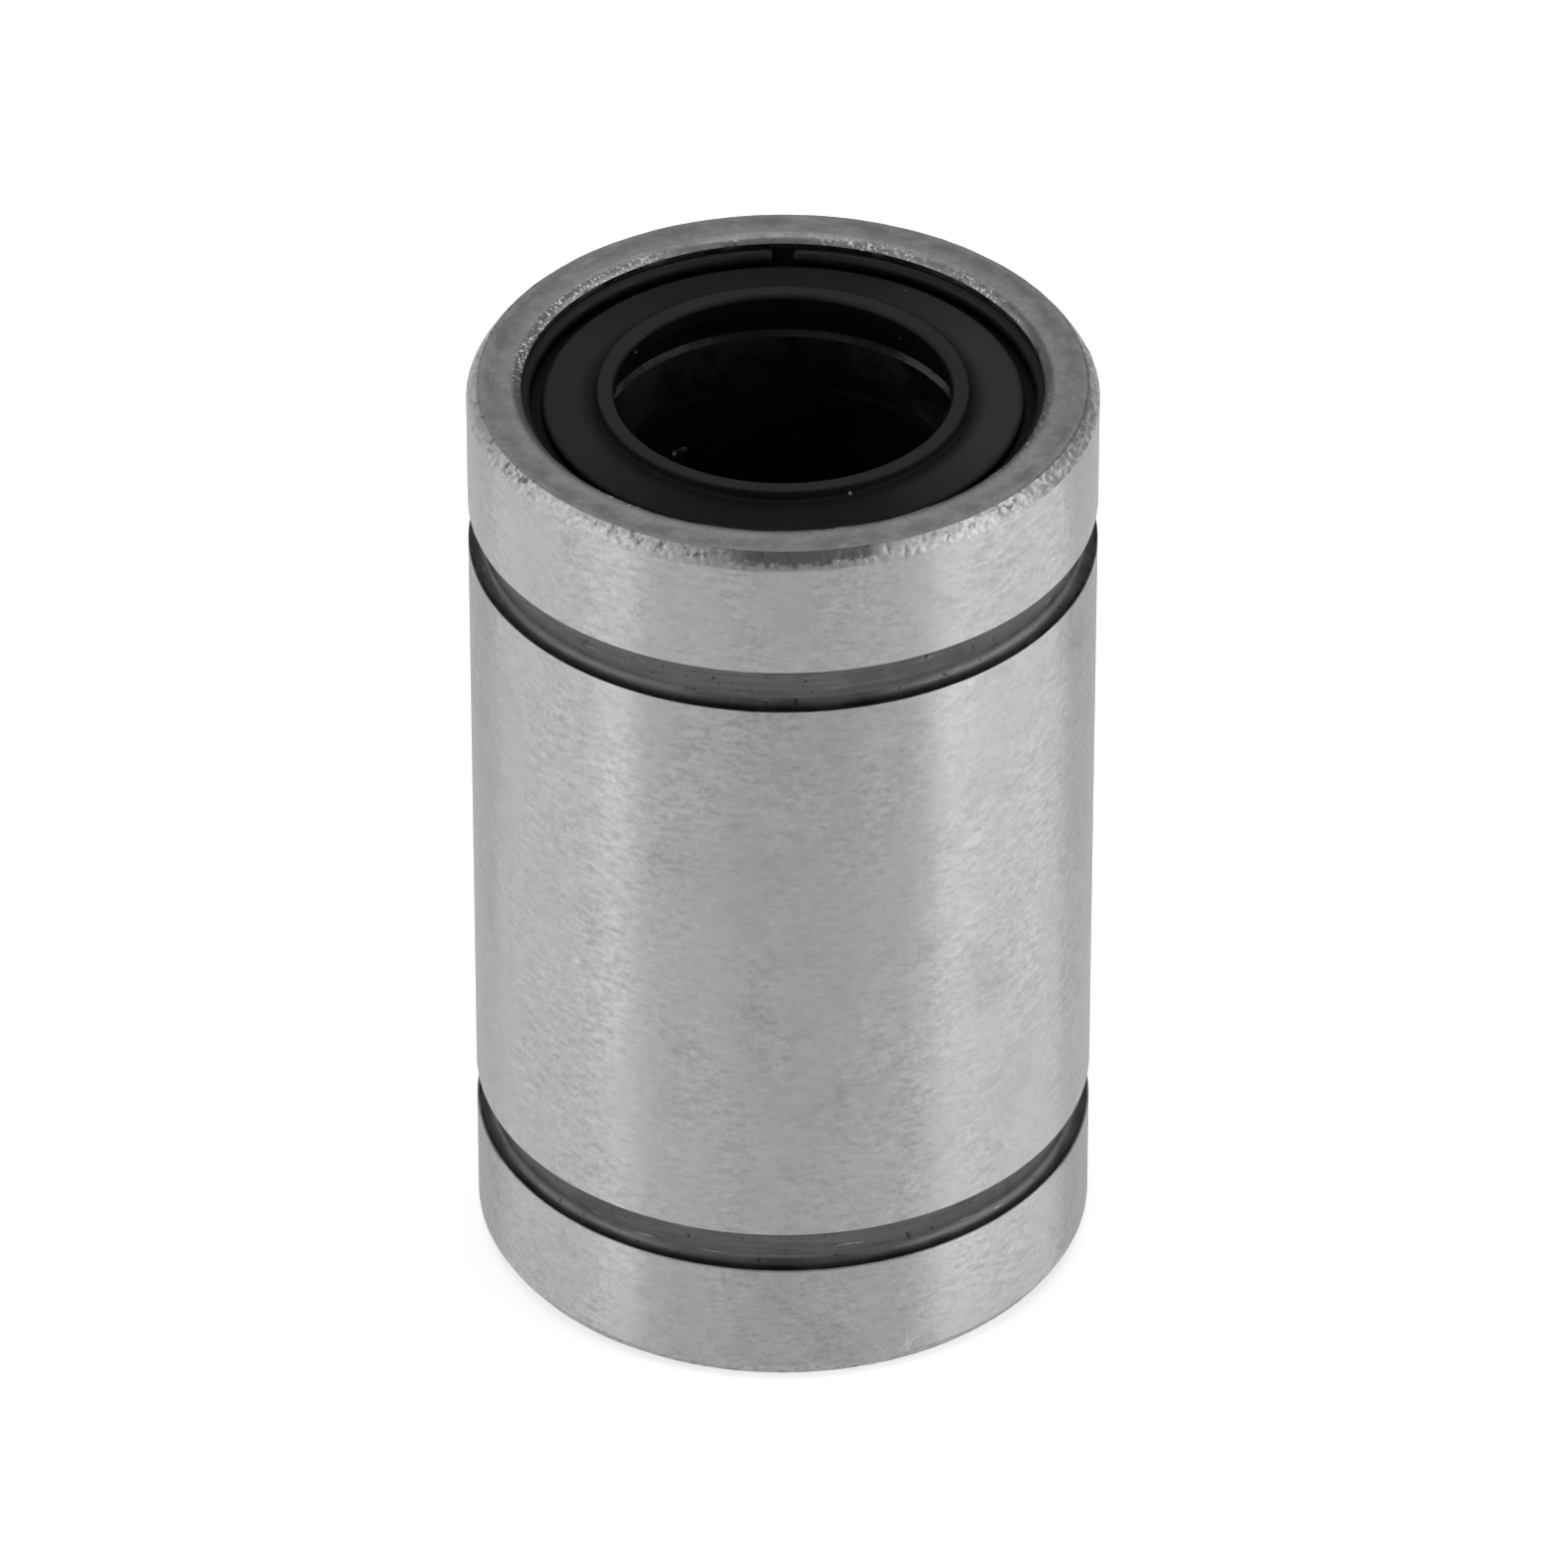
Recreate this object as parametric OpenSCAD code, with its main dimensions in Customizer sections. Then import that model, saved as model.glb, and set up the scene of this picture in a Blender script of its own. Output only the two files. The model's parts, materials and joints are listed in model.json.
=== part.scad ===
// Linear ball bushing, standing on its lower end face.
// +Z is the bushing's axis, and the origin is the centre of the lower end face. Millimetres.
// The two ends are alike: each end piece is drawn for the upper end, and the lower one is its mirror image.

/* [Shaft and sleeve] */
// Diameter of the shaft that runs in the bushing
shaft_d = 8; // [6:0.1:9]
// Outer diameter of the sleeve
sleeve_d = 15; // [14:0.1:20]
// Length of the sleeve
sleeve_len = 24; // [19:0.1:60]
// Radial width of the chamfer on the sleeve's outer edges
rim_chamfer_w = 0.25; // [0.05:0.05:0.5]
// Axial length of the chamfer on the sleeve's outer edges
rim_chamfer_len = 0.36; // [0.04:0.04:0.6]
// Chamfer on the inner edge of each mouth
mouth_chamfer = 0.12; // [0.02:0.02:0.2]

/* [Retaining-ring grooves] */
// Distance between the outer edges of the two grooves
groove_span = 17.5; // [12:0.1:18]
// Width of each groove
groove_w = 1.1; // [0.8:0.05:2]
// Depth of each groove
groove_depth = 0.35; // [0.1:0.05:0.6]

/* [Balls and raceway] */
// Diameter of a ball
ball_d = 1.5875; // [1.2:0.0125:1.8]
// Least gap between two balls in a turn
ball_gap = 0.025; // [0.01:0.005:0.1]
// Gap between the loaded balls and the raceway with no shaft fitted
race_clearance = 0.012; // [0.004:0.004:0.04]
// Chamfer at each end of the raceway
race_chamfer = 0.2; // [0.05:0.05:0.4]
// Gap between the return balls and the relief behind them
relief_clearance = 0.08; // [0.04:0.01:0.09]
// Gap between the return balls and the mouth bore, where they go round the turns
mouth_clearance = 0.1; // [0.1:0.01:0.2]
// Direction of the first loaded row, in degrees from +X towards +Y
circuit_phase = 50; // [0:1:89]

/* [Ball cage] */
// Gap between the shaft and the cage
cage_shaft_gap = 0.2; // [0.1:0.01:0.4]
// Gap between the cage and the raceway
cage_clearance = 0.05; // [0.02:0.01:0.1]
// Gap between the balls and the walls of their channel
channel_clearance = 0.05; // [0.02:0.01:0.1]
// Least wall between a turn and the end of the cage
cage_end_wall = 0.6; // [0.3:0.1:1.5]
// Chamfer on the cage's ends
cage_chamfer = 0.1; // [0.05:0.05:0.3]

/* [Side rings] */
// Thickness of a side ring's plate
side_ring_t = 1.5; // [0.8:0.1:2.5]
// Gap between the shaft and a side ring
side_ring_shaft_gap = 0.3; // [0.2:0.05:0.6]
// Chamfer on a side ring's bore, below the seal
side_ring_chamfer = 0.15; // [0.05:0.05:0.4]
// Gap between a side ring and the mouth bore
side_ring_clearance = 0.05; // [0.02:0.01:0.1]
// Gap between a side ring's skirt and the balls in a turn
skirt_gap = 0.15; // [0.1:0.05:0.4]

/* [Seals] */
// Gap between a seal's flange and the mouth bore
seal_clearance = 0.02; // [0.01:0.01:0.1]
// Thickness of the flange, which the snap ring holds down
seal_flange_t = 0.68; // [0.4:0.02:1.2]
// Height of the seal's face above the flange
seal_face_h = 0.27; // [0.1:0.01:0.4]
// Gap between the seal's face and the snap ring round it
seal_face_gap = 0.3; // [0.1:0.05:0.6]
// Height of the collar above the seal's face
collar_h = 0.26; // [0.1:0.02:0.4]
// Width of the collar's top
collar_w = 0.4; // [0.3:0.02:0.6]
// Length of the seal lip, which meets the shaft
lip_len = 0.5; // [0.3:0.02:0.6]
// Radial depth of the recess below the lip
lip_recess = 0.35; // [0.15:0.05:0.5]
// Chamfer on the seal's edges
seal_chamfer = 0.05; // [0.02:0.01:0.08]

/* [Snap rings] */
// Diameter of the snap ring's wire
snap_wire_d = 0.4; // [0.3:0.02:0.6]
// Sleeve left between the end face and the snap ring's groove
snap_land = 0.28; // [0.22:0.02:0.6]
// Gap between the wire and its groove
snap_clearance = 0.02; // [0.01:0.01:0.05]
// Opening between the ends of the wire
snap_opening = 0.5; // [0.2:0.1:3]

/* [Stack] */
// Gap between the pieces that lie on one another along the axis
seat_gap = 0.02; // [0.01:0.01:0.05]

/* [Hidden] */
$fn = 96;
CIRCUITS = 4;
TURN_BALLS = 2;
BALL_GROUPS = ["loaded_balls", "return_balls", "upper_turn_balls", "lower_turn_balls"];
function ball_node(circuit, group) = str("circuit_", circuit, "_", group);

STEEL = [0.66, 0.65, 0.64];
BALL_STEEL = [0.80, 0.80, 0.82];
RUBBER = [0.09, 0.09, 0.09];
WIRE_BLACK = [0.05, 0.05, 0.05];
PLASTIC = [0.16, 0.16, 0.17];
// How far a cut runs past the surface that it opens
CUT = 1;

ball_r = ball_d / 2;
shaft_r = shaft_d / 2;
sleeve_r = sleeve_d / 2;

// A circuit is a flat racetrack. Its plane stands square to the radius through the loaded row, so the
// balls come no nearer to the shaft anywhere in the circuit.
pitch_r = shaft_r + ball_r;
turn_r = (ball_d + ball_gap) / (2 * sin(90 / TURN_BALLS));
ball_pitch = PI * turn_r / TURN_BALLS;
row_spacing = 2 * turn_r;
return_r = sqrt(pow(pitch_r, 2) + pow(row_spacing, 2));
channel_r = ball_r + channel_clearance;

race_r = pitch_r + ball_r + race_clearance;
relief_r = ball_r + relief_clearance;
mouth_r = return_r + ball_r + mouth_clearance;

// The stack at the upper end, from the end face down
snap_groove_w = snap_wire_d + 2 * snap_clearance;
snap_groove_r = mouth_r + snap_wire_d / 2 + snap_clearance;
snap_z = sleeve_len - snap_land - snap_groove_w / 2;
seal_top = snap_z - snap_wire_d / 2 - seat_gap;
seal_bottom = seal_top - seal_flange_t;
side_ring_top = seal_bottom - seat_gap;
side_ring_bottom = side_ring_top - side_ring_t;
cage_top = side_ring_bottom - seat_gap;
cage_bottom = sleeve_len - cage_top;

// The straight rows hold as many balls as the cage has room for
row_room = cage_top - cage_bottom - 2 * (cage_end_wall + turn_r + channel_r);
row_balls = floor(row_room / ball_pitch);
row_len = row_balls * ball_pitch;
race_top = (sleeve_len + row_len) / 2;
race_bottom = sleeve_len - race_top;
row_z = [for (i = [0 : row_balls - 1]) race_bottom + (i + 0.5) * ball_pitch];

cage_r = race_r - cage_clearance;
cage_bore_r = shaft_r + cage_shaft_gap;
// The channel's outward opening is a hair narrower than the channel, and still wider than a ball
opening_r = ball_r + channel_clearance / 2;

groove_floor_r = sleeve_r - groove_depth;
groove_top = (sleeve_len + groove_span) / 2;

seal_face_z = seal_top + seal_face_h;
seal_face_r = mouth_r - snap_wire_d / 2 - seal_face_gap;
collar_z = seal_face_z + collar_h;
collar_r = shaft_r + collar_w;
lip_bottom = collar_z - lip_len;
recess_r = shaft_r + lip_recess;

snap_opening_angle = 2 * asin(snap_opening / 2 / mouth_r);

// Mirrors a piece of the upper end to the lower end
module at_lower_end() {
    translate([0, 0, sleeve_len]) mirror([0, 0, 1]) children();
}

module at_both_ends() {
    children();
    at_lower_end() children();
}

// Turns a circuit's own axes to its place: X through its loaded row, and Y away from its return row
module in_circuit(circuit) {
    rotate([0, 0, circuit_phase - (circuit - 1) * 360 / CIRCUITS]) children();
}

module in_each_circuit() {
    for (circuit = [1 : CIRCUITS]) in_circuit(circuit) children();
}

module disc(r, bottom, top) {
    translate([0, 0, bottom]) cylinder(r = r, h = top - bottom);
}

// A cut that widens a bore of radius r upwards at 45 degrees, to r + size at the height top
module bore_chamfer(r, size, top) {
    translate([0, 0, top - size]) cylinder(r1 = r, r2 = r + size + CUT, h = size + CUT);
}

module sleeve_blank() {
    rotate_extrude() polygon([
        [0, 0],
        [sleeve_r - rim_chamfer_w, 0],
        [sleeve_r, rim_chamfer_len],
        [sleeve_r, sleeve_len - rim_chamfer_len],
        [sleeve_r - rim_chamfer_w, sleeve_len],
        [0, sleeve_len]
    ]);
}

module retaining_ring_groove() {
    rotate_extrude() translate([groove_floor_r, groove_top - groove_w])
        square([groove_depth + CUT, groove_w]);
}

module sleeve_mouth() {
    disc(mouth_r, race_top, sleeve_len + CUT);
    bore_chamfer(mouth_r, mouth_chamfer, sleeve_len);
    disc(snap_groove_r, snap_z - snap_groove_w / 2, snap_z + snap_groove_w / 2);
    bore_chamfer(race_r, race_chamfer, race_top);
}

// The round groove in the raceway that gives the return balls room
module return_relief() {
    translate([pitch_r, -row_spacing, race_bottom - CUT]) cylinder(r = relief_r, h = row_len + 2 * CUT);
}

module outer_sleeve() {
    color(STEEL) difference() {
        sleeve_blank();
        disc(race_r, -CUT, sleeve_len + CUT);
        at_both_ends() sleeve_mouth();
        at_both_ends() retaining_ring_groove();
        in_each_circuit() return_relief();
    }
}

// Section of a ball's channel: round at the bottom, and open towards the sleeve
module channel_section() {
    circle(r = channel_r);
    translate([-opening_r, 0]) square([2 * opening_r, cage_r]);
}

// Half a turn of the channel in the circuit's plane, above the raceway's upper end
module channel_turn() {
    translate([pitch_r, -turn_r, race_top]) rotate([90, 0, 90])
        rotate_extrude(angle = 180) translate([turn_r, 0]) channel_section();
}

module ball_channel() {
    for (y = [0, -row_spacing])
        translate([pitch_r, y, race_bottom]) linear_extrude(row_len) rotate(-90) channel_section();
    at_both_ends() channel_turn();
}

module ball_cage() {
    color(PLASTIC) difference() {
        disc(cage_r, cage_bottom, cage_top);
        disc(cage_bore_r, cage_bottom - CUT, cage_top + CUT);
        at_both_ends() bore_chamfer(cage_bore_r, cage_chamfer, cage_top);
        in_each_circuit() ball_channel();
    }
}

// The opening in a side ring's skirt that a circuit's turn stands in
module skirt_window() {
    reach = channel_r + skirt_gap;
    translate([0, -row_spacing - reach, race_top - CUT])
        cube([sleeve_r, row_spacing + 2 * reach, side_ring_bottom - race_top + CUT]);
}

module side_ring() {
    color(PLASTIC) difference() {
        disc(mouth_r - side_ring_clearance, race_top + seat_gap, side_ring_top);
        disc(race_r, race_top - CUT, side_ring_bottom);
        in_each_circuit() skirt_window();
        disc(shaft_r + side_ring_shaft_gap, race_top - CUT, side_ring_top + CUT);
        bore_chamfer(shaft_r + side_ring_shaft_gap, side_ring_chamfer, side_ring_top);
    }
}

module seal() {
    color(RUBBER) rotate_extrude() polygon([
        [mouth_r - seal_clearance, seal_bottom],
        [mouth_r - seal_clearance, seal_top],
        [seal_face_r, seal_top],
        [seal_face_r, seal_face_z - seal_chamfer],
        [seal_face_r - seal_chamfer, seal_face_z],
        [collar_r + seal_chamfer, seal_face_z],
        [collar_r, collar_z - seal_chamfer],
        [collar_r - seal_chamfer, collar_z],
        [shaft_r + seal_chamfer, collar_z],
        [shaft_r, collar_z - seal_chamfer],
        [shaft_r, lip_bottom],
        [recess_r, lip_bottom - lip_recess / 2],
        [recess_r, seal_bottom]
    ]);
}

// The wire's opening is at the back, towards +Y
module snap_ring() {
    color(WIRE_BLACK) translate([0, 0, snap_z]) rotate([0, 0, 90 + snap_opening_angle / 2])
        rotate_extrude(angle = 360 - snap_opening_angle)
            translate([mouth_r, 0]) circle(d = snap_wire_d);
}

module ball_row(y) {
    for (z = row_z) translate([pitch_r, y, z]) sphere(d = ball_d);
}

module ball_turn() {
    for (i = [0 : TURN_BALLS - 1]) {
        angle = (i + 0.5) * 180 / TURN_BALLS;
        translate([pitch_r, turn_r * (cos(angle) - 1), race_top + turn_r * sin(angle)]) sphere(d = ball_d);
    }
}

module ball_group(circuit, group) {
    color(BALL_STEEL) in_circuit(circuit) {
        if (group == "loaded_balls") ball_row(0);
        if (group == "return_balls") ball_row(-row_spacing);
        if (group == "upper_turn_balls") ball_turn();
        if (group == "lower_turn_balls") at_lower_end() ball_turn();
    }
}

outer_sleeve();
ball_cage();
side_ring();  // upper_side_ring
at_lower_end() side_ring();  // lower_side_ring
seal();  // upper_seal
at_lower_end() seal();  // lower_seal
snap_ring();  // upper_snap_ring
at_lower_end() snap_ring();  // lower_snap_ring
for (circuit = [1 : CIRCUITS]) for (group = BALL_GROUPS)
    ball_group(circuit, group);
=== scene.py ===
"""Linear ball bushing: the visual model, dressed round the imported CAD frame. Metres, +Z up."""

import json
import math
from collections import namedtuple

import bmesh
import bpy
from mathutils import Matrix, Vector, noise


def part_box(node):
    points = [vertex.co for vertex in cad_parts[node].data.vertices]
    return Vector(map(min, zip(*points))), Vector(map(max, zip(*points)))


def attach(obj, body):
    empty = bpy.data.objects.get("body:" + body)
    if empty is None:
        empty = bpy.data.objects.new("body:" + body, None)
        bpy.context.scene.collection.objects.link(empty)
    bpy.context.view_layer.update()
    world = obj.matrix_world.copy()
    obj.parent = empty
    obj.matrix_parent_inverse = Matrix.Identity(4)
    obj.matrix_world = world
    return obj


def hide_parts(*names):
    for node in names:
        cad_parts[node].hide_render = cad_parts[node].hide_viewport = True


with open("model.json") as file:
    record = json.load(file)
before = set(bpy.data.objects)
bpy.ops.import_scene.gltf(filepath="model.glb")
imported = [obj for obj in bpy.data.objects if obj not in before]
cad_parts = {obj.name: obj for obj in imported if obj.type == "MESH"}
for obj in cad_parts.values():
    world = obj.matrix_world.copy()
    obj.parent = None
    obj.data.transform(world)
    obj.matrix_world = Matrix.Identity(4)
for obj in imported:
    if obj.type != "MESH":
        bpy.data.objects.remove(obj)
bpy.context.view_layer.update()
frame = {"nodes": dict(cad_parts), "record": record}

MM = 0.001
MICRON = 1e-6
TAU = 2 * math.pi

# Sizes, in millimetres as in the CAD model, read from the frame where a node's box gives them
SLEEVE_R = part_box("outer_sleeve")[1].x / MM
SLEEVE_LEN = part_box("outer_sleeve")[1].z / MM
SNAP_LOW, SNAP_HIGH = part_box("upper_snap_ring")
SNAP_WIRE_R = (SNAP_HIGH.z - SNAP_LOW.z) / 2 / MM
SNAP_DEPTH = SLEEVE_LEN - (SNAP_HIGH.z + SNAP_LOW.z) / 2 / MM
MOUTH_R = -SNAP_LOW.y / MM - SNAP_WIRE_R
SNAP_CLEARANCE = 0.02
SNAP_OPENING = 0.5
RIM_CHAMFER_W = 0.25
RIM_CHAMFER_LEN = 0.36
MOUTH_CHAMFER = 0.18
GROOVE_NEAR = 3.25
GROOVE_FAR = 4.35
GROOVE_FLOOR_R = 7.15
RACE_R = 5.5995
RACE_DEPTH = 5.7314
RACE_CHAMFER = 0.2
RELIEF_R = 0.87375
SHAFT_R = 4.0

# The seal, with its heights as depths below the end face
SEAL_CLEARANCE = 0.02
SEAL_BOTTOM_DEPTH = 1.40
SEAL_FLANGE_DEPTH = 0.72
SEAL_FACE_DEPTH = 0.45
SEAL_FACE_R = 5.7023
COLLAR_DEPTH = 0.19
COLLAR_R = SHAFT_R + 0.4
LIP_LEN = 0.5
LIP_RECESS = 0.35

# How fine the meshes are
SLEEVE_SEGMENTS = 1440
SEAL_SEGMENTS = 360
WIRE_STEPS = 300
WIRE_SIDES = 20
BALL_SEGMENTS = 40
BALL_RINGS = 24

# Where a mark fades in, painted light and shade among them, as the radius with none of it and the radius
# with all of it
DARK_BAND_INSIDE = (6.62, 6.85)
DARK_BAND_OUTSIDE = (7.22, 7.02)
MOUTH_EDGE = (6.46, 6.36)
CHAMFER_TOP = (7.46, 7.40)
CHAMFER_DARK_REFLECTION = (7.45, 7.40)
COLLAR_SHADOW_FADE = (4.50, 4.85)
COLLAR_OUTSIDE = (4.44, 4.36)
COLLAR_INSIDE = (4.01, 4.05)

# Where the worn chamfers carry their painted dark reflection in front, and their painted shade at the right
DARK_REFLECTION_DIRECTION = (0.067, -0.998, 0.0)
RIGHT_SHADE_DIRECTION = (0.98, -0.20, 0.0)

# The slight pink of the end faces and chamfers
END_PINK = 0.012

# The photograph's camera
VIEW_ELEVATION = 35.22
VIEW_DISTANCE = 322.0
VIEW_TARGET = (0.024, 0.0, 12.331)
VIEW_HUB_Z = 12.0
LENS = 306.07

# The side lamps stand round the bushing: name, azimuth, distance, width and level
SIDE_LAMPS = (
    ("left_box", -84, 0.5, 0.60, 1.30),
    ("left_strip", -58, 0.49, 0.13, 1.1),
    ("left_fill", -34, 0.51, 0.26, 0.45),
    ("right_box", 82, 0.5, 0.55, 2.0),
    ("right_strip", 60, 0.49, 0.15, 0.7),
    ("right_fill", 38, 0.51, 0.22, 0.35),
)
SIDE_LAMP_ELEVATION = 21
SIDE_LAMP_HEIGHT = 0.38
FLOOR_HALF_WIDTH = 1.5


# ---------------------------------------------------------------- meshes

def finish_mesh(name, verts, faces, zones, materials, sharp_deg=32):
    """A smooth-shaded mesh object. Zones gives each face the index of its material."""
    mesh = bpy.data.meshes.new(name)
    mesh.from_pydata([Vector(v) * MM for v in verts], [], faces)
    for material in materials:
        mesh.materials.append(material)
    mesh.polygons.foreach_set("material_index", zones)
    mesh.polygons.foreach_set("use_smooth", [True] * len(faces))
    mesh.set_sharp_from_angle(angle=math.radians(sharp_deg))
    mesh.validate()
    obj = bpy.data.objects.new(name, mesh)
    bpy.context.scene.collection.objects.link(obj)
    return obj


def rounded(corners, step_deg=15):
    """An outline in (r, z) from corners (r, z, radius), with each radius drawn as an arc."""
    out = []
    count = len(corners)
    for i, (r, z, radius) in enumerate(corners):
        here = Vector((r, z))
        back = (Vector(corners[i - 1][:2]) - here).normalized()
        ahead = (Vector(corners[(i + 1) % count][:2]) - here).normalized()
        half = back.angle(ahead) / 2
        start, end = here + back * radius / math.tan(half), here + ahead * radius / math.tan(half)
        centre = here + (back + ahead).normalized() * radius / math.sin(half)
        steps = max(2, math.ceil(math.degrees(math.pi - 2 * half) / step_deg))
        for k in range(steps + 1):
            arm = (start - centre).lerp(end - centre, k / steps).normalized() * radius
            out.append(tuple(centre + arm))
    return out


def lathe(name, outline, materials, zone_of, segments, shape=None):
    """Revolves a closed outline of (r, z). shape(index, direction, r, z) may move each point."""
    verts, faces, zones = [], [], []
    rings = len(outline)
    for s in range(segments):
        angle = TAU * s / segments
        direction = Vector((math.cos(angle), math.sin(angle), 0))
        for i, (r, z) in enumerate(outline):
            if shape:
                r, z = shape(i, direction, r, z)
            verts.append((r * direction.x, r * direction.y, z))
    for s in range(segments):
        a, b = s * rings, ((s + 1) % segments) * rings
        for i in range(rings):
            j = (i + 1) % rings
            faces.append((a + i, b + i, b + j, a + j))
            zones.append(zone_of(i))
    return finish_mesh(name, verts, faces, zones, materials)


# ---------------------------------------------------------------- material helpers

class Shader:
    """A material under construction: one Principled shader and short calls that add nodes to it."""

    def __init__(self, name):
        self.material = bpy.data.materials.new(name)
        self.material.use_nodes = True
        self.nodes = self.material.node_tree.nodes
        self.links = self.material.node_tree.links
        self.bsdf = self.nodes["Principled BSDF"]
        self.place = self.nodes.new("ShaderNodeTexCoord").outputs["Object"]

    def set(self, **values):
        for key, value in values.items():
            self.bsdf.inputs[key.replace("_", " ")].default_value = value

    def node(self, kind, inputs=(), **settings):
        node = self.nodes.new(kind)
        for key, value in settings.items():
            setattr(node, key, value)
        for key, value in dict(inputs).items():
            if isinstance(value, bpy.types.NodeSocket):
                self.links.new(value, node.inputs[key])
            else:
                node.inputs[key].default_value = value
        return node

    def scaled(self, x, y, z):
        node = self.node("ShaderNodeMapping", {"Vector": self.place, "Scale": (x, y, z)})
        return node.outputs["Vector"]

    def grain(self, per_mm, detail=4, rough=0.55, place=None, warp=0):
        """Noise with so many features to the millimetre."""
        node = self.node("ShaderNodeTexNoise", {
            "Vector": place or self.place, "Scale": per_mm / MM, "Detail": detail,
            "Roughness": rough, "Distortion": warp})
        return node.outputs["Fac"]

    def ringwise(self, along, across):
        """Coordinates round the axis, with so many features to the radian and to the millimetre outwards."""
        flat = self.scaled(1, 1, 0)
        unit = self.node("ShaderNodeVectorMath", {0: flat}, operation="NORMALIZE").outputs["Vector"]
        turned = self.node("ShaderNodeVectorMath", {0: unit, "Scale": along}, operation="SCALE")
        outwards = self.math("MULTIPLY", self.radius(), across)
        lift = self.node("ShaderNodeCombineXYZ", {"Z": outwards}).outputs["Vector"]
        total = self.node("ShaderNodeVectorMath", {0: turned.outputs["Vector"], 1: lift}, operation="ADD")
        return total.outputs["Vector"]

    def radius(self):
        """The distance from the axis, in millimetres."""
        flat = self.scaled(1 / MM, 1 / MM, 0)
        return self.node("ShaderNodeVectorMath", {0: flat}, operation="LENGTH").outputs["Value"]

    def height(self):
        """The height over the lower end face, in millimetres."""
        return self.node("ShaderNodeSeparateXYZ", {0: self.scaled(1 / MM, 1 / MM, 1 / MM)}).outputs["Z"]

    def heading(self, direction):
        """How far this place lies in a direction from the axis, from -1 to 1."""
        unit = self.node("ShaderNodeVectorMath", {0: self.scaled(1, 1, 0)}, operation="NORMALIZE")
        ahead = self.node("ShaderNodeVectorMath", {0: unit.outputs["Vector"], 1: direction},
                          operation="DOT_PRODUCT")
        return ahead.outputs["Value"]

    def swirl(self, along, across, detail=4, rough=0.6):
        """Noise drawn out round the axis."""
        node = self.node("ShaderNodeTexNoise", {
            "Vector": self.ringwise(along, across), "Scale": 1.0, "Detail": detail, "Roughness": rough})
        return node.outputs["Fac"]

    def scratches(self, lean_deg, per_mm, width, share):
        """Fine straight lines at a lean to the axis, broken up so that only a share of them is left."""
        turned = self.node("ShaderNodeMapping", {
            "Vector": self.place, "Rotation": (0, math.radians(lean_deg), 0)}).outputs["Vector"]
        drawn = self.node("ShaderNodeMapping", {"Vector": turned, "Scale": (1, 1, 0.03)}).outputs["Vector"]
        off_centre = self.math("SUBTRACT", self.grain(per_mm, detail=0, place=drawn), 0.5)
        off_centre = self.node("ShaderNodeMath", {0: off_centre}, operation="ABSOLUTE").outputs[0]
        left = self.remap(self.grain(0.35, detail=1), 0.66 - share, 0.72 - share)
        return self.math("MULTIPLY", self.remap(off_centre, width, 0.0), left)

    def remap(self, value, low, high, to_low=0.0, to_high=1.0):
        node = self.node("ShaderNodeMapRange", {
            "Value": value, "From Min": low, "From Max": high, "To Min": to_low, "To Max": to_high})
        return node.outputs["Result"]

    def math(self, operation, a, b):
        return self.node("ShaderNodeMath", {0: a, 1: b}, operation=operation).outputs[0]

    def blend(self, factor, a, b):
        node = self.node("ShaderNodeMix", data_type="RGBA")
        for socket, value in ((node.inputs[0], factor), (node.inputs[6], a), (node.inputs[7], b)):
            if isinstance(value, bpy.types.NodeSocket):
                self.links.new(value, socket)
            else:
                socket.default_value = value
        return node.outputs[2]

    def feed(self, socket, value):
        self.links.new(value, self.bsdf.inputs[socket])

    def bump(self, height, microns, under=None):
        """A relief so many microns high, on top of the one under it."""
        inputs = {"Height": height, "Distance": microns * MICRON, "Strength": 1.0}
        if under:
            inputs["Normal"] = under
        return self.node("ShaderNodeBump", inputs).outputs["Normal"]


def grey(level, warmth=0.0, pink=0.0):
    """A grey with a slight tint, as a colour value."""
    return (level * (1 + warmth + pink), level * (1 - pink), level * (1 - warmth + pink), 1)


# ---------------------------------------------------------------- materials

def ground_steel():
    """The sleeve's ground outside: satin, with short marks round it, a few scratches and faint stains."""
    s = Shader("ground_steel")
    cloud = s.grain(0.5, detail=4, rough=0.6)
    fleck = s.grain(2.6, detail=3, rough=0.7, place=s.scaled(1, 1, 2.6))
    dust = s.grain(7.0, detail=2, rough=0.6)
    marks = s.math("ADD", s.math("MULTIPLY", fleck, 0.65), s.math("MULTIPLY", dust, 0.35))
    patch = s.remap(s.grain(0.55, detail=3, rough=0.6, place=s.scaled(1, 1, 0.35)), 0.40, 0.62, 0.45, 1.10)
    marks = s.math("ADD", s.math("MULTIPLY", s.math("SUBTRACT", marks, 0.5), patch), 0.5)
    tone = s.math("ADD", s.math("MULTIPLY", cloud, 0.08), s.math("MULTIPLY", marks, 0.92))
    base = s.blend(s.remap(tone, 0.38, 0.62), grey(0.345), grey(0.50))
    stain_and_dark_reflection = s.remap(s.grain(0.42, detail=5, rough=0.7, warp=0.6), 0.57, 0.70)
    base = s.blend(s.math("MULTIPLY", stain_and_dark_reflection, 0.45), base, grey(0.27, 0.02))
    lines = s.math("MAXIMUM", s.scratches(38, 0.9, 0.004, 0.04), s.scratches(-50, 0.8, 0.004, 0.03))
    base = s.blend(s.math("MULTIPLY", lines, 0.30), base, grey(0.80))
    s.feed("Base Color", base)
    s.feed("Roughness", s.remap(marks, 0.38, 0.62, 0.383, 0.397))
    s.feed("Normal", s.bump(marks, 1.1))
    tangent = s.node("ShaderNodeTangent", direction_type="RADIAL", axis="Z")
    s.feed("Tangent", tangent.outputs[0])
    s.set(Metallic=1.0, Anisotropic=1.0, Anisotropic_Rotation=0.25)
    return s.material


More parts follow.
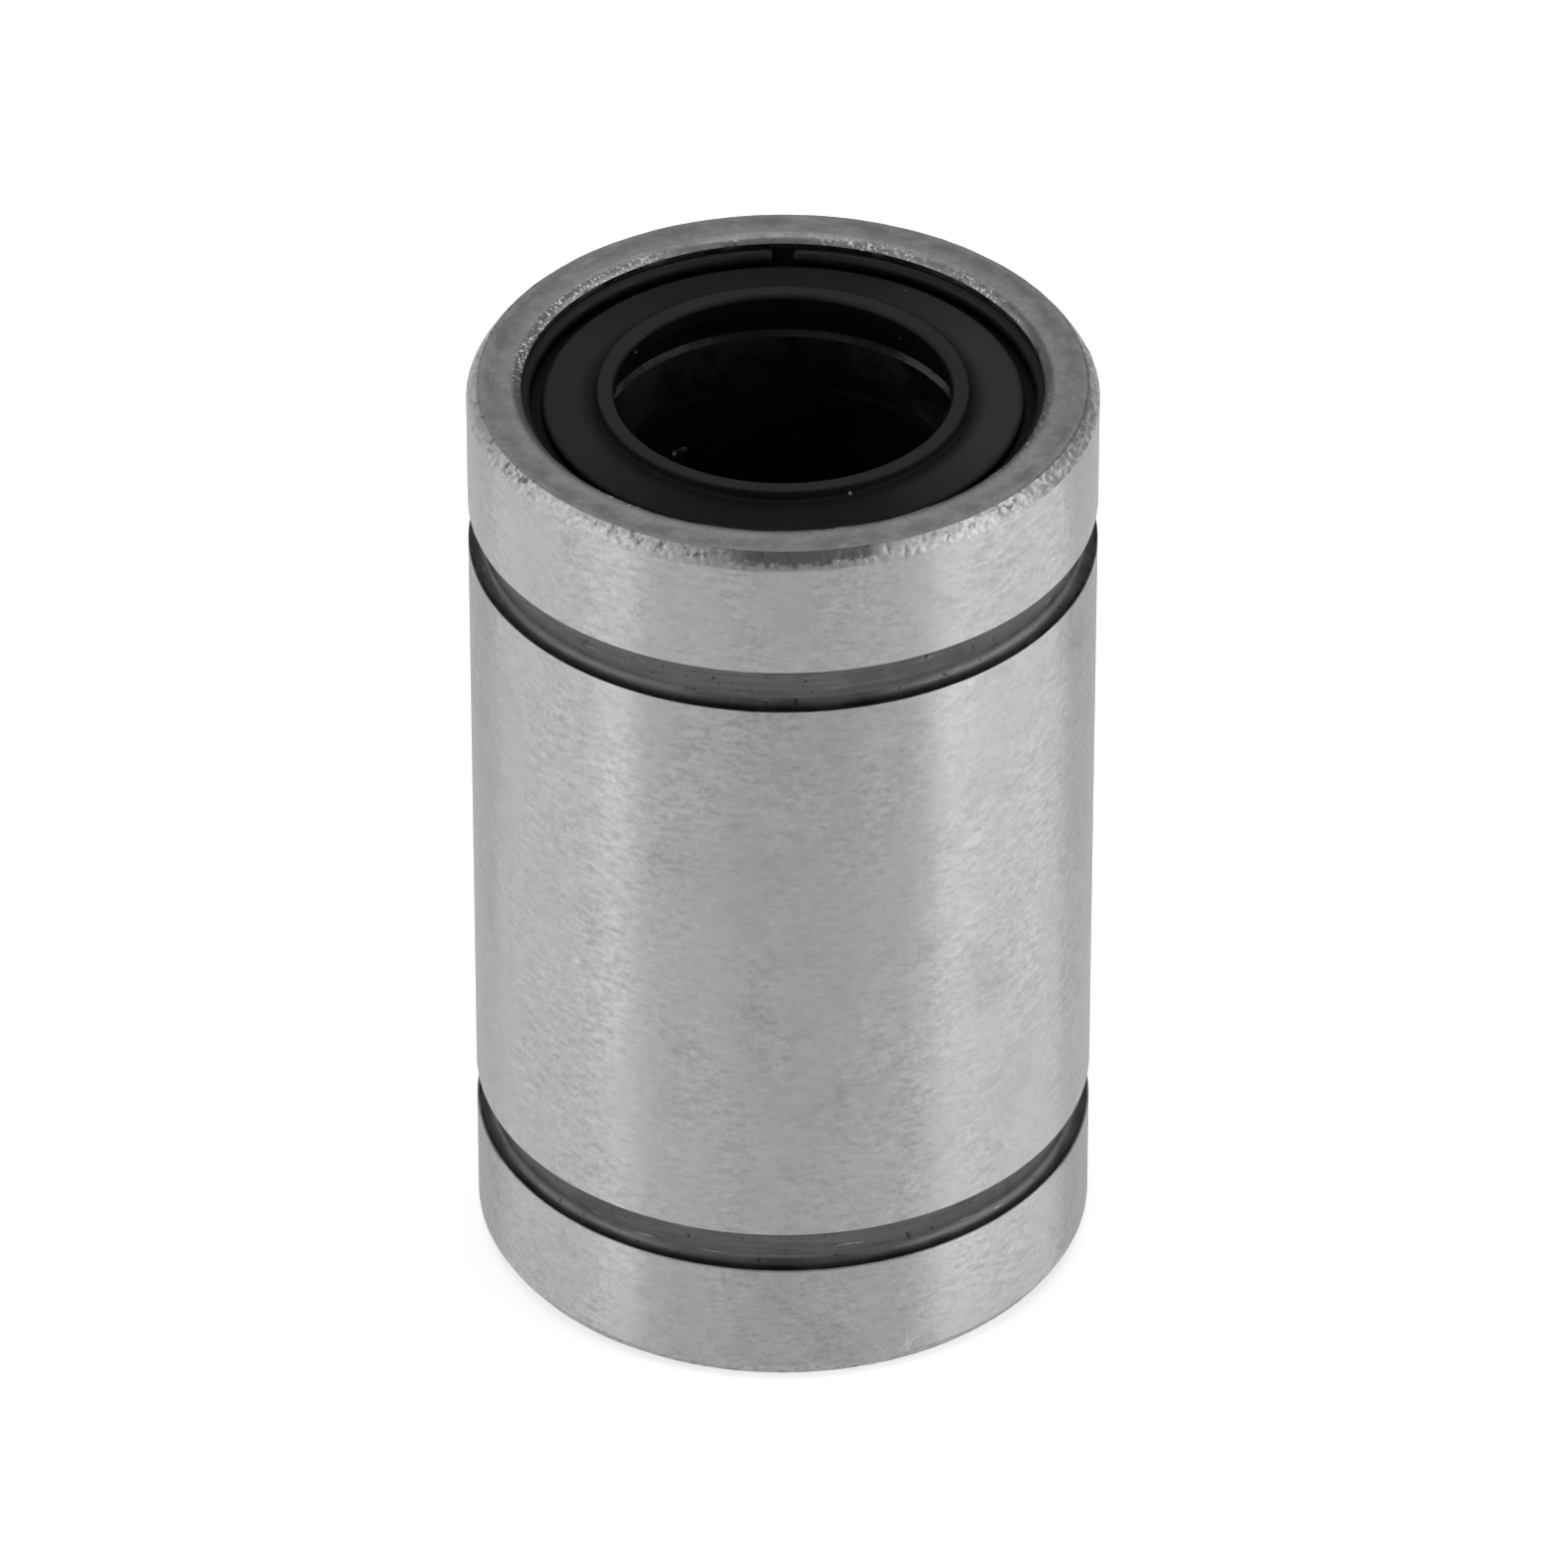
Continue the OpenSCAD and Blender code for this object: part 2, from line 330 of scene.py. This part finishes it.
def end_steel():
    """The sleeve's turned end faces: greyer and rougher, with a dark band, painted shade on the mouth's
    chamfer, and burrs there with painted glints.
    """
    s = Shader("end_steel")
    rings = s.swirl(9.0, 2.2, detail=5, rough=0.65)
    cloud = s.grain(1.5, detail=4, rough=0.6)
    fleck = s.grain(7.5, detail=4, rough=0.7)
    tone = s.math("ADD", s.math("MULTIPLY", rings, 0.45), s.math("MULTIPLY", cloud, 0.25))
    tone = s.math("ADD", tone, s.math("MULTIPLY", fleck, 0.30))
    base = s.blend(s.remap(tone, 0.38, 0.62), grey(0.26, pink=END_PINK), grey(0.50, pink=END_PINK))
    radius = s.radius()
    band = s.math("MULTIPLY", s.remap(radius, *DARK_BAND_INSIDE), s.remap(radius, *DARK_BAND_OUTSIDE))
    band = s.math("MULTIPLY", band, s.remap(rings, 0.66, 0.40, 0.0, 0.6))
    base = s.blend(band, base, grey(0.20, pink=END_PINK))
    # Painted shade: the end face darkens on the mouth's chamfer, where it turns down into the bore.
    at_mouth = s.remap(radius, *MOUTH_EDGE)
    base = s.blend(s.math("MULTIPLY", at_mouth, 0.65), base, grey(0.10, pink=END_PINK))
    # Burrs on the mouth's chamfer: real relief in the bump, with near-white painted glints in random
    # sectors.
    sector = s.remap(s.swirl(1.1, 0.0, detail=2), 0.47, 0.60)
    crumb = s.remap(s.grain(11.0, detail=2, rough=0.6), 0.52, 0.66)
    burrs_and_painted_glints = s.math("MULTIPLY", s.math("MULTIPLY", at_mouth, sector), crumb)
    s.feed("Base Color", s.blend(burrs_and_painted_glints, base, grey(0.90)))
    s.feed("Roughness", s.remap(tone, 0.40, 0.60, 0.50, 0.38))
    coarse = s.bump(s.math("ADD", s.math("MULTIPLY", burrs_and_painted_glints, 2.0), fleck), 7)
    s.feed("Normal", s.bump(rings, 6, under=coarse))
    s.set(Metallic=1.0)
    return s.material


def edge_steel():
    """The worn chamfers round both ends: a speckle of small pits and crumbs, with painted shade at the
    right.
    Only the upper one has a painted dark reflection in front, with ragged edges."""
    s = Shader("edge_steel")
    crumb = s.grain(6.5, detail=3, rough=0.6)
    patch = s.swirl(5.0, 0.0, detail=3)
    base = s.blend(s.remap(crumb, 0.40, 0.66), grey(0.30), grey(0.41))
    pit = s.remap(s.grain(5.0, detail=2, rough=0.6), 0.56, 0.64)
    pit = s.math("MULTIPLY", pit, s.remap(patch, 0.40, 0.58))
    pit = s.math("MULTIPLY", pit, s.remap(s.radius(), *CHAMFER_TOP))
    base = s.blend(s.math("MULTIPLY", pit, 0.8), base, grey(0.05))
    # Painted shade: the chamfers darken at the right side, broken up by the crumbs.
    right_shade = s.remap(s.heading(RIGHT_SHADE_DIRECTION), 0.80, 0.93)
    right_shade = s.math("MULTIPLY", right_shade, s.remap(crumb, 0.62, 0.42, 0.3, 0.9))
    base = s.blend(right_shade, base, grey(0.14, pink=END_PINK))
    # Painted dark reflection: a ragged dark patch where the upper chamfer faces the camera.
    ragged = s.math("ADD", s.heading(DARK_REFLECTION_DIRECTION), s.remap(patch, 0.3, 0.7, -0.012, 0.012))
    inner = s.math("ADD", s.radius(), s.remap(crumb, 0.3, 0.7, -0.05, 0.05))
    stain_and_dark_reflection = s.math("MULTIPLY", s.remap(ragged, 0.966, 0.982), s.remap(inner, *CHAMFER_DARK_REFLECTION))
    stain_and_dark_reflection = s.math("MULTIPLY", stain_and_dark_reflection, s.math("GREATER_THAN", s.height(), SLEEVE_LEN / 2))
    base = s.blend(s.math("MULTIPLY", stain_and_dark_reflection, 0.8), base, grey(0.10))
    s.feed("Base Color", base)
    s.feed("Roughness", s.remap(crumb, 0.4, 0.6, 0.48, 0.42))
    rough = s.bump(pit, -5)
    s.feed("Normal", s.bump(crumb, 1.3, under=rough))
    s.set(Metallic=1.0)
    return s.material


def groove_steel():
    """The floors of the retaining-ring grooves: dark and oily, with turning marks and small pits."""
    s = Shader("groove_steel")
    marks = s.grain(0.6, detail=6, rough=0.7, place=s.scaled(1, 1, 16))
    cloud = s.grain(0.9, detail=4, rough=0.65)
    tone = s.math("ADD", s.math("MULTIPLY", marks, 0.5), s.math("MULTIPLY", cloud, 0.5))
    base = s.blend(s.remap(tone, 0.34, 0.66), grey(0.06, 0.04), grey(0.125, 0.03))
    streak = s.remap(s.grain(0.75, detail=3, rough=0.6, place=s.scaled(1, 1, 11)), 0.66, 0.72)
    base = s.blend(s.math("MULTIPLY", streak, 0.4), base, grey(0.36, 0.02))
    pit = s.remap(s.grain(5.5, detail=2, rough=0.5), 0.66, 0.72)
    s.feed("Base Color", s.blend(s.math("MULTIPLY", pit, 0.7), base, grey(0.008)))
    s.feed("Roughness", s.remap(cloud, 0.3, 0.7, 0.30, 0.48))
    s.feed("Normal", s.bump(marks, 3))
    s.set(Metallic=1.0)
    return s.material


def bore_steel():
    """The inside of the sleeve's mouths, its raceway and the walls of its grooves: a slightly warm dark
    steel, its darkness painted shade.
    """
    s = Shader("bore_steel")
    marks = s.grain(0.5, detail=5, rough=0.6, place=s.scaled(1, 1, 14))
    soot = s.grain(2.2, detail=4, rough=0.65)
    s.feed("Base Color", s.blend(s.remap(soot, 0.35, 0.70), grey(0.03, 0.04), grey(0.13, 0.04)))
    s.feed("Roughness", s.remap(marks, 0.3, 0.7, 0.30, 0.50))
    s.feed("Normal", s.bump(marks, 3))
    s.set(Metallic=1.0)
    return s.material


def seal_rubber():
    """Black moulded rubber with a fine skin and a few specks of dust. Painted light, with a little dust,
    greys its outer face, more at the sides and the back and most at the right; the collar's top is painted
    light, its foot painted shadow."""
    s = Shader("seal_rubber")
    skin = s.grain(8.0, detail=4, rough=0.6)
    cloud = s.grain(0.8, detail=4, rough=0.6)
    dust = s.node("ShaderNodeTexVoronoi", {"Vector": s.place, "Scale": 0.75 / MM}, feature="F1")
    speck = s.remap(dust.outputs["Distance"], 0.045, 0.020)
    # Painted light: the film is lighter at the sides, at the back and most at the right, with a little
    # random dust from the cloud.
    across = s.heading((1, 0, 0))
    film = s.remap(s.math("MULTIPLY", across, across), 0.15, 0.85, 0.0, 0.8)
    film = s.math("ADD", film, s.remap(s.heading((0, 1, 0)), 0.2, 1.0, 0.0, 0.25))
    film = s.math("ADD", film, s.remap(cloud, 0.3, 0.7, 0.0, 0.15))
    film = s.math("ADD", film, s.remap(across, 0.35, 0.95, 0.0, 0.5))
    radius = s.radius()
    # Painted shadow: the film fades out in a ring round the collar's foot.
    film = s.math("MULTIPLY", film, s.remap(radius, *COLLAR_SHADOW_FADE))
    # Painted light on the collar's top face.
    on_collar = s.math("MULTIPLY", s.remap(radius, *COLLAR_OUTSIDE), s.remap(radius, *COLLAR_INSIDE))
    film = s.math("MAXIMUM", film, s.math("MULTIPLY", on_collar, 0.9))
    from_middle = s.math("SUBTRACT", s.height(), SLEEVE_LEN / 2)
    from_middle = s.node("ShaderNodeMath", {0: from_middle}, operation="ABSOLUTE").outputs[0]
    outer_face = s.math("GREATER_THAN", from_middle, SLEEVE_LEN / 2 - SEAL_FACE_DEPTH - 0.1)
    film = s.math("MULTIPLY", film, outer_face)
    base = s.blend(s.math("MULTIPLY", film, 0.63), grey(0.0010), grey(0.028))
    s.feed("Base Color", s.blend(s.math("MULTIPLY", speck, 0.55), base, grey(0.45)))
    s.feed("Roughness", s.remap(cloud, 0.3, 0.7, 0.45, 0.60))
    s.feed("Normal", s.bump(skin, 2.5))
    s.set(Specular_IOR_Level=0.11)
    return s.material


def black_wire():
    """The snap ring's black oiled spring wire."""
    s = Shader("black_wire")
    marks = s.grain(1.5, detail=4, rough=0.6)
    s.feed("Base Color", s.blend(marks, grey(0.002), grey(0.006)))
    s.feed("Roughness", s.remap(marks, 0.3, 0.7, 0.45, 0.60))
    s.feed("Normal", s.bump(marks, 3))
    s.set(Specular_IOR_Level=0.2)
    return s.material


def retainer_plastic(name, rough_low, rough_high, level):
    """Moulded black plastic, darkened further to nearly black as painted shade in the bore, with faint flow
    marks. The level is how strongly it shines.
    """
    s = Shader(name)
    skin = s.grain(6.0, detail=4, rough=0.6)
    flow = s.grain(0.6, detail=3, rough=0.5)
    # Black plastic, with its base darkened further as painted shade so that its lit faces stay dark in the
    # bore.
    s.feed("Base Color", s.blend(s.remap(flow, 0.3, 0.7), grey(0.0012), grey(0.004)))
    film = s.math("ADD", s.math("MULTIPLY", s.grain(0.5, detail=2), 0.7), s.math("MULTIPLY", skin, 0.3))
    s.feed("Roughness", s.remap(film, 0.42, 0.58, rough_low, rough_high))
    s.feed("Normal", s.bump(skin, 3))
    s.set(Specular_IOR_Level=level)
    return s.material


def ball_steel():
    """Polished balls, their steel darkened as painted shade for the dark bore."""
    s = Shader("ball_steel")
    film = s.grain(1.4, detail=4, rough=0.6)
    # The dark base is painted shade, keeping the balls dark deep in the bore.
    s.feed("Base Color", s.blend(film, grey(0.20), grey(0.34)))
    s.feed("Roughness", s.remap(film, 0.3, 0.7, 0.20, 0.32))
    s.feed("Normal", s.bump(film, 0.4))
    s.set(Metallic=1.0)
    return s.material


# ---------------------------------------------------------------- sleeve

# One ring of the sleeve's section: its radius, its depth below the end face and the material beyond it.
# Wear moves it by up to slide_r and slide_depth, and dents it by up to pit.
Ring = namedtuple("Ring", "r depth zone slide_r slide_depth pit", defaults=(0, 0, 0))
GROUND, END, EDGE, GROOVE, BORE = range(5)


def end_z(depth, side):
    """The height of a place at a depth below the upper end face (side 1) or over the lower one (-1)."""
    return SLEEVE_LEN - depth if side > 0 else depth


def arc(centre_r, centre_depth, radius, from_deg, to_deg, steps):
    """Points on an arc in the section. 0 degrees points outwards, and 90 degrees away from the end face."""
    turns = [math.radians(from_deg + (to_deg - from_deg) * k / steps) for k in range(steps + 1)]
    return [(centre_r + radius * math.cos(t), centre_depth + radius * math.sin(t)) for t in turns]


def sleeve_rings():
    """The sleeve's section at one end, from the middle land over the end face into the raceway."""
    edge, worn_edge, corner = 0.02, 0.05, 0.25
    rings = []

    def add(points, zone, **wear):
        rings.extend(Ring(r, depth, zone, **wear) for r, depth in points)

    add(arc(SLEEVE_R - edge, GROOVE_FAR + edge, edge, 0, -90, 3)[:-1], GROUND)
    # Both walls of the groove take the dark bore steel: painted shade under the groove's overhang.
    add([(SLEEVE_R - edge, GROOVE_FAR)], BORE, slide_r=0.012)
    add(arc(GROOVE_FLOOR_R + corner, GROOVE_FAR - corner, corner, 90, 180, 8), GROOVE)
    add(arc(GROOVE_FLOOR_R + corner, GROOVE_NEAR + corner, corner, 180, 270, 8)[:-1], GROOVE)
    add([(GROOVE_FLOOR_R + corner, GROOVE_NEAR)], BORE)
    add(arc(SLEEVE_R - worn_edge, GROOVE_NEAR - worn_edge, worn_edge, 90, 0, 4), GROUND)
    add([(SLEEVE_R, RIM_CHAMFER_LEN + 0.14)], GROUND)
    add([(SLEEVE_R, RIM_CHAMFER_LEN + 0.03)], GROUND, slide_depth=0.04)
    steps = 12
    for k in range(steps + 1):
        # From the wall up the chamfer, which wear has crowned a little
        share = k / steps
        crown = math.sin(math.pi * share)
        add([(SLEEVE_R - RIM_CHAMFER_W * share + 0.014 * crown,
              RIM_CHAMFER_LEN * (1 - share) - 0.010 * crown)], EDGE,
            slide_r=0.022 * share, slide_depth=0.045 * (1 - share), pit=0.0065 * (0.2 + crown))
    add([(7.20, 0), (6.95, 0), (6.70, 0), (6.52, 0)], END)
    add([(MOUTH_R + MOUTH_CHAMFER, 0)], END, slide_r=0.035, pit=0.010)
    add([(MOUTH_R + 0.4 * MOUTH_CHAMFER, 0.3 * MOUTH_CHAMFER)], END, slide_r=0.030, pit=0.016)
    add([(MOUTH_R, 0.85 * MOUTH_CHAMFER)], BORE)
    groove_start = SNAP_DEPTH - SNAP_WIRE_R - SNAP_CLEARANCE
    groove_end = SNAP_DEPTH + SNAP_WIRE_R + SNAP_CLEARANCE
    groove_r = MOUTH_R + SNAP_WIRE_R + SNAP_CLEARANCE
    add([(MOUTH_R, groove_start), (groove_r, groove_start), (groove_r, groove_end),
         (MOUTH_R, groove_end), (MOUTH_R, RACE_DEPTH)], BORE)
    add([(RACE_R + RACE_CHAMFER, RACE_DEPTH), (RACE_R, RACE_DEPTH + RACE_CHAMFER)], BORE)
    return rings


RELIEF_CENTRES = [(low + high) / 2 / MM for low, high in (
    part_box(node) for node in frame["nodes"] if node.endswith("_return_balls"))]

# Sets the wear of the two ends apart in the noise
WEAR_SHIFT = 31


def relief_radius(direction):
    """How far a return relief reaches in this direction, or 0 between the reliefs."""
    for centre in RELIEF_CENTRES:
        ahead = centre.x * direction.x + centre.y * direction.y
        side = centre.x * direction.y - centre.y * direction.x
        if ahead > 0 and abs(side) < RELIEF_R:
            return ahead + math.sqrt(RELIEF_R ** 2 - side ** 2)
    return 0


def make_sleeve(materials):
    """The sleeve in one piece, with its worn edges and the reliefs of the return balls."""
    half = sleeve_rings()
    upper = [(ring, 1) for ring in half]
    lower = [(ring, -1) for ring in reversed(half)]
    rings = upper + lower
    outline = [(ring.r, end_z(ring.depth, side)) for ring, side in rings]
    zones = [ring.zone for ring in half[:-1]] + [BORE]
    zones += [ring.zone for ring in reversed(half[:-1])] + [GROUND]

    def worn(i, direction, r, z):
        ring, side = rings[i]
        if r <= RACE_R + RACE_CHAMFER:
            return max(r, relief_radius(direction)), z
        if not (ring.slide_r or ring.slide_depth or ring.pit):
            return r, z
        spot = direction * SLEEVE_R + Vector((0, 0, WEAR_SHIFT * side))
        wobble = 0.6 * noise.noise(spot * 0.8) + 0.4 * noise.noise(spot * 2.6) + 0.12 * noise.noise(spot * 7)
        grit = noise.noise(spot * 7.5 + Vector((0, 0, 22 * (r - ring.depth))))
        dent = ring.pit * max(0.0, 2.6 * grit - 0.25)
        r += ring.slide_r * wobble - dent
        depth = max(ring.depth + ring.slide_depth * (0.25 + wobble) + 0.7 * dent, 0.0)
        return min(r, SLEEVE_R), end_z(depth, side)

    piece = lathe("sleeve_steel", outline, materials, lambda i: zones[i], SLEEVE_SEGMENTS, worn)
    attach(piece, "housing")
    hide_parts("outer_sleeve")


# ---------------------------------------------------------------- seals and snap rings

def make_seal(side, material):
    """One end seal: a flange under the snap ring, a flat face, and a collar with the lip in it."""
    flange_r, recess_r = MOUTH_R - SEAL_CLEARANCE, SHAFT_R + LIP_RECESS
    lip_end = COLLAR_DEPTH + LIP_LEN
    corners = [
        (flange_r, SEAL_BOTTOM_DEPTH, 0.04),
        (flange_r, SEAL_FLANGE_DEPTH, 0.04),
        (SEAL_FACE_R, SEAL_FLANGE_DEPTH, 0.05),
        (SEAL_FACE_R, SEAL_FACE_DEPTH, 0.12),
        (COLLAR_R + 0.04, SEAL_FACE_DEPTH, 0.10),
        (COLLAR_R, COLLAR_DEPTH, 0.07),
        (SHAFT_R + 0.07, COLLAR_DEPTH, 0.04),
        (SHAFT_R, COLLAR_DEPTH + 0.12, 0.06),
        (SHAFT_R, lip_end, 0.05),
        (recess_r, lip_end + LIP_RECESS / 2, 0.1),
        (recess_r, SEAL_BOTTOM_DEPTH, 0.04),
    ]
    outline = [(r, end_z(depth, side)) for r, depth in rounded(corners)]
    name = "seal_upper" if side > 0 else "seal_lower"
    piece = lathe(name, outline, [material], lambda i: 0, SEAL_SEGMENTS)
    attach(piece, "housing")
    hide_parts("upper_seal" if side > 0 else "lower_seal")


def make_snap_ring(side, material):
    """A round wire ring with its opening at the back. Its ends are rounded over."""
    half_open = SNAP_OPENING / 2 / MOUTH_R
    start, sweep = math.pi / 2 + half_open, TAU - 2 * half_open
    # Stations along the wire: the angle from its start, and the share of the wire's full radius
    dome = SNAP_WIRE_R * 0.35 / MOUTH_R
    stations = [(0, 0.55), (dome * 0.35, 0.85), (dome, 1)]
    stations += [(dome + (sweep - 2 * dome) * k / WIRE_STEPS, 1) for k in range(1, WIRE_STEPS)]
    stations += [(sweep - dome, 1), (sweep - dome * 0.35, 0.85), (sweep, 0.55)]
    verts, faces = [], []
    for along, size in stations:
        angle = start + along
        for k in range(WIRE_SIDES):
            turn = TAU * k / WIRE_SIDES
            r = MOUTH_R + SNAP_WIRE_R * size * math.cos(turn)
            z = end_z(SNAP_DEPTH, side) + SNAP_WIRE_R * size * math.sin(turn)
            verts.append((r * math.cos(angle), r * math.sin(angle), z))
    for s in range(len(stations) - 1):
        a, b = s * WIRE_SIDES, (s + 1) * WIRE_SIDES
        for k in range(WIRE_SIDES):
            j = (k + 1) % WIRE_SIDES
            faces.append((a + k, b + k, b + j, a + j))
    last = (len(stations) - 1) * WIRE_SIDES
    faces.append(tuple(range(WIRE_SIDES)))
    faces.append(tuple(last + k for k in reversed(range(WIRE_SIDES))))
    name = "snap_ring_upper" if side > 0 else "snap_ring_lower"
    piece = finish_mesh(name, verts, faces, [0] * len(faces), [material], sharp_deg=60)
    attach(piece, "housing")
    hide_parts("upper_snap_ring" if side > 0 else "lower_snap_ring")


# ---------------------------------------------------------------- balls

def ball_centres(node):
    """The centres and the radius of the balls in a CAD node, read from its separate shells."""
    work = bmesh.new()
    work.from_mesh(frame["nodes"][node].data)
    bmesh.ops.remove_doubles(work, verts=work.verts, dist=1e-7)
    left, found = set(work.verts), []
    while left:
        shell, front = set(), [left.pop()]
        while front:
            vert = front.pop()
            shell.add(vert)
            for link in vert.link_edges:
                other = link.other_vert(vert)
                if other in left:
                    left.discard(other)
                    front.append(other)
        low = Vector([min(v.co[k] for v in shell) for k in range(3)])
        high = Vector([max(v.co[k] for v in shell) for k in range(3)])
        found.append(((low + high) / 2, (high - low).z / 2))
    work.free()
    return sorted(found, key=lambda item: item[0].z)


def make_balls(node, body, material):
    """One piece with a smooth sphere for each ball of a CAD node."""
    work = bmesh.new()
    for centre, radius in ball_centres(node):
        bmesh.ops.create_uvsphere(work, u_segments=BALL_SEGMENTS, v_segments=BALL_RINGS, radius=radius,
                                  matrix=Matrix.Translation(centre))
    mesh = bpy.data.meshes.new("steel_" + node)
    work.to_mesh(mesh)
    work.free()
    mesh.polygons.foreach_set("use_smooth", [True] * len(mesh.polygons))
    mesh.materials.append(material)
    piece = bpy.data.objects.new("steel_" + node, mesh)
    bpy.context.scene.collection.objects.link(piece)
    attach(piece, body)
    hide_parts(node)


# ---------------------------------------------------------------- stage

def white_to_eye(nodes, links, shader, strength):
    """Adds white light that only the eye and mirror-like rays see, so the background is white."""
    path = nodes.new("ShaderNodeLightPath")
    seen = path.outputs["Is Camera Ray"]
    for ray in ("Is Glossy Ray", "Is Transmission Ray"):
        add = nodes.new("ShaderNodeMath")
        add.operation = "MAXIMUM"
        links.new(seen, add.inputs[0])
        links.new(path.outputs[ray], add.inputs[1])
        seen = add.outputs[0]
    amount = nodes.new("ShaderNodeMath")
    amount.operation = "MULTIPLY"
    amount.inputs[1].default_value = strength
    links.new(seen, amount.inputs[0])
    glow = nodes.new("ShaderNodeEmission")
    links.new(amount.outputs[0], glow.inputs["Strength"])
    total = nodes.new("ShaderNodeAddShader")
    links.new(shader.outputs[0], total.inputs[0])
    links.new(glow.outputs[0], total.inputs[1])
    links.new(total.outputs[0], nodes["Material Output"].inputs["Surface"])


def make_floor():
    """A plain sheet of white paper, which keeps the bushing's shadow."""
    w = FLOOR_HALF_WIDTH
    mesh = bpy.data.meshes.new("floor")
    mesh.from_pydata([(-w, -w, 0), (w, -w, 0), (w, w, 0), (-w, w, 0)], [], [(0, 1, 2, 3)])
    floor = bpy.data.objects.new("floor", mesh)
    bpy.context.scene.collection.objects.link(floor)
    material = bpy.data.materials.new("floor_paper")
    material.use_nodes = True
    nodes, links = material.node_tree.nodes, material.node_tree.links
    nodes.remove(nodes["Principled BSDF"])
    paper = nodes.new("ShaderNodeBsdfDiffuse")
    paper.inputs["Color"].default_value = grey(0.80)
    white_to_eye(nodes, links, paper, 0.5)
    mesh.materials.append(material)


def make_world():
    world = bpy.data.worlds.new("studio")
    bpy.context.scene.world = world
    world.use_nodes = True
    back = world.node_tree.nodes["Background"]
    back.inputs["Color"].default_value = grey(1.0)
    back.inputs["Strength"].default_value = 0.3


def softbox(name, azimuth, elevation, distance, width, height, level):
    """A soft lamp aimed at the bushing. Azimuth 0 stands behind the camera, 90 at its right.
    The level is how bright its face looks, where 1 is white."""
    data = bpy.data.lights.new(name, "AREA")
    data.shape = "RECTANGLE"
    data.size, data.size_y = width, height
    data.energy = level * math.pi * width * height
    lamp = bpy.data.objects.new(name, data)
    bpy.context.scene.collection.objects.link(lamp)
    a, e = math.radians(azimuth), math.radians(elevation)
    out = Vector((math.sin(a) * math.cos(e), -math.cos(a) * math.cos(e), math.sin(e)))
    lamp.location = out * distance + Vector((0, 0, VIEW_HUB_Z * MM))
    lamp.rotation_mode = "QUATERNION"
    lamp.rotation_quaternion = out.to_track_quat("Z", "Y")


def make_camera():
    data = bpy.data.cameras.new("camera")
    data.lens = LENS
    data.sensor_width = 36
    data.clip_start, data.clip_end = 0.01, 10
    camera = bpy.data.objects.new("camera", data)
    bpy.context.scene.collection.objects.link(camera)
    e = math.radians(VIEW_ELEVATION)
    back, up = VIEW_DISTANCE * math.cos(e), VIEW_DISTANCE * math.sin(e)
    camera.location = Vector((0, -back, VIEW_HUB_Z + up)) * MM
    aim = camera.location - Vector(VIEW_TARGET) * MM
    camera.rotation_mode = "QUATERNION"
    camera.rotation_quaternion = aim.to_track_quat("Z", "Y")
    bpy.context.scene.camera = camera


# ---------------------------------------------------------------- the model

make_camera()
make_world()
make_floor()
for name, azimuth, distance, width, level in SIDE_LAMPS:
    softbox(name, azimuth, SIDE_LAMP_ELEVATION, distance, width, SIDE_LAMP_HEIGHT, level)
softbox("top_box", 180, 80, 0.8, 0.6, 0.6, 2.0)

make_sleeve([ground_steel(), end_steel(), edge_steel(), groove_steel(), bore_steel()])
rubber, wire = seal_rubber(), black_wire()
for end in (1, -1):
    make_seal(end, rubber)
    make_snap_ring(end, wire)

ring_plastic = retainer_plastic("side_ring_plastic", 0.32, 0.80, 0.35)
cage_plastic = retainer_plastic("cage_plastic", 0.65, 0.80, 0.05)
retainers = {"ball_cage": cage_plastic, "upper_side_ring": ring_plastic, "lower_side_ring": ring_plastic}
for node, plastic in retainers.items():
    for slot in frame["nodes"][node].material_slots:
        slot.material = plastic

polished = ball_steel()
for body, members in frame["record"]["behaviour"]["bodies"].items():
    for node in members:
        if node.endswith("_balls"):
            make_balls(node, body, polished)

bpy.context.scene.view_settings.view_transform = "Standard"
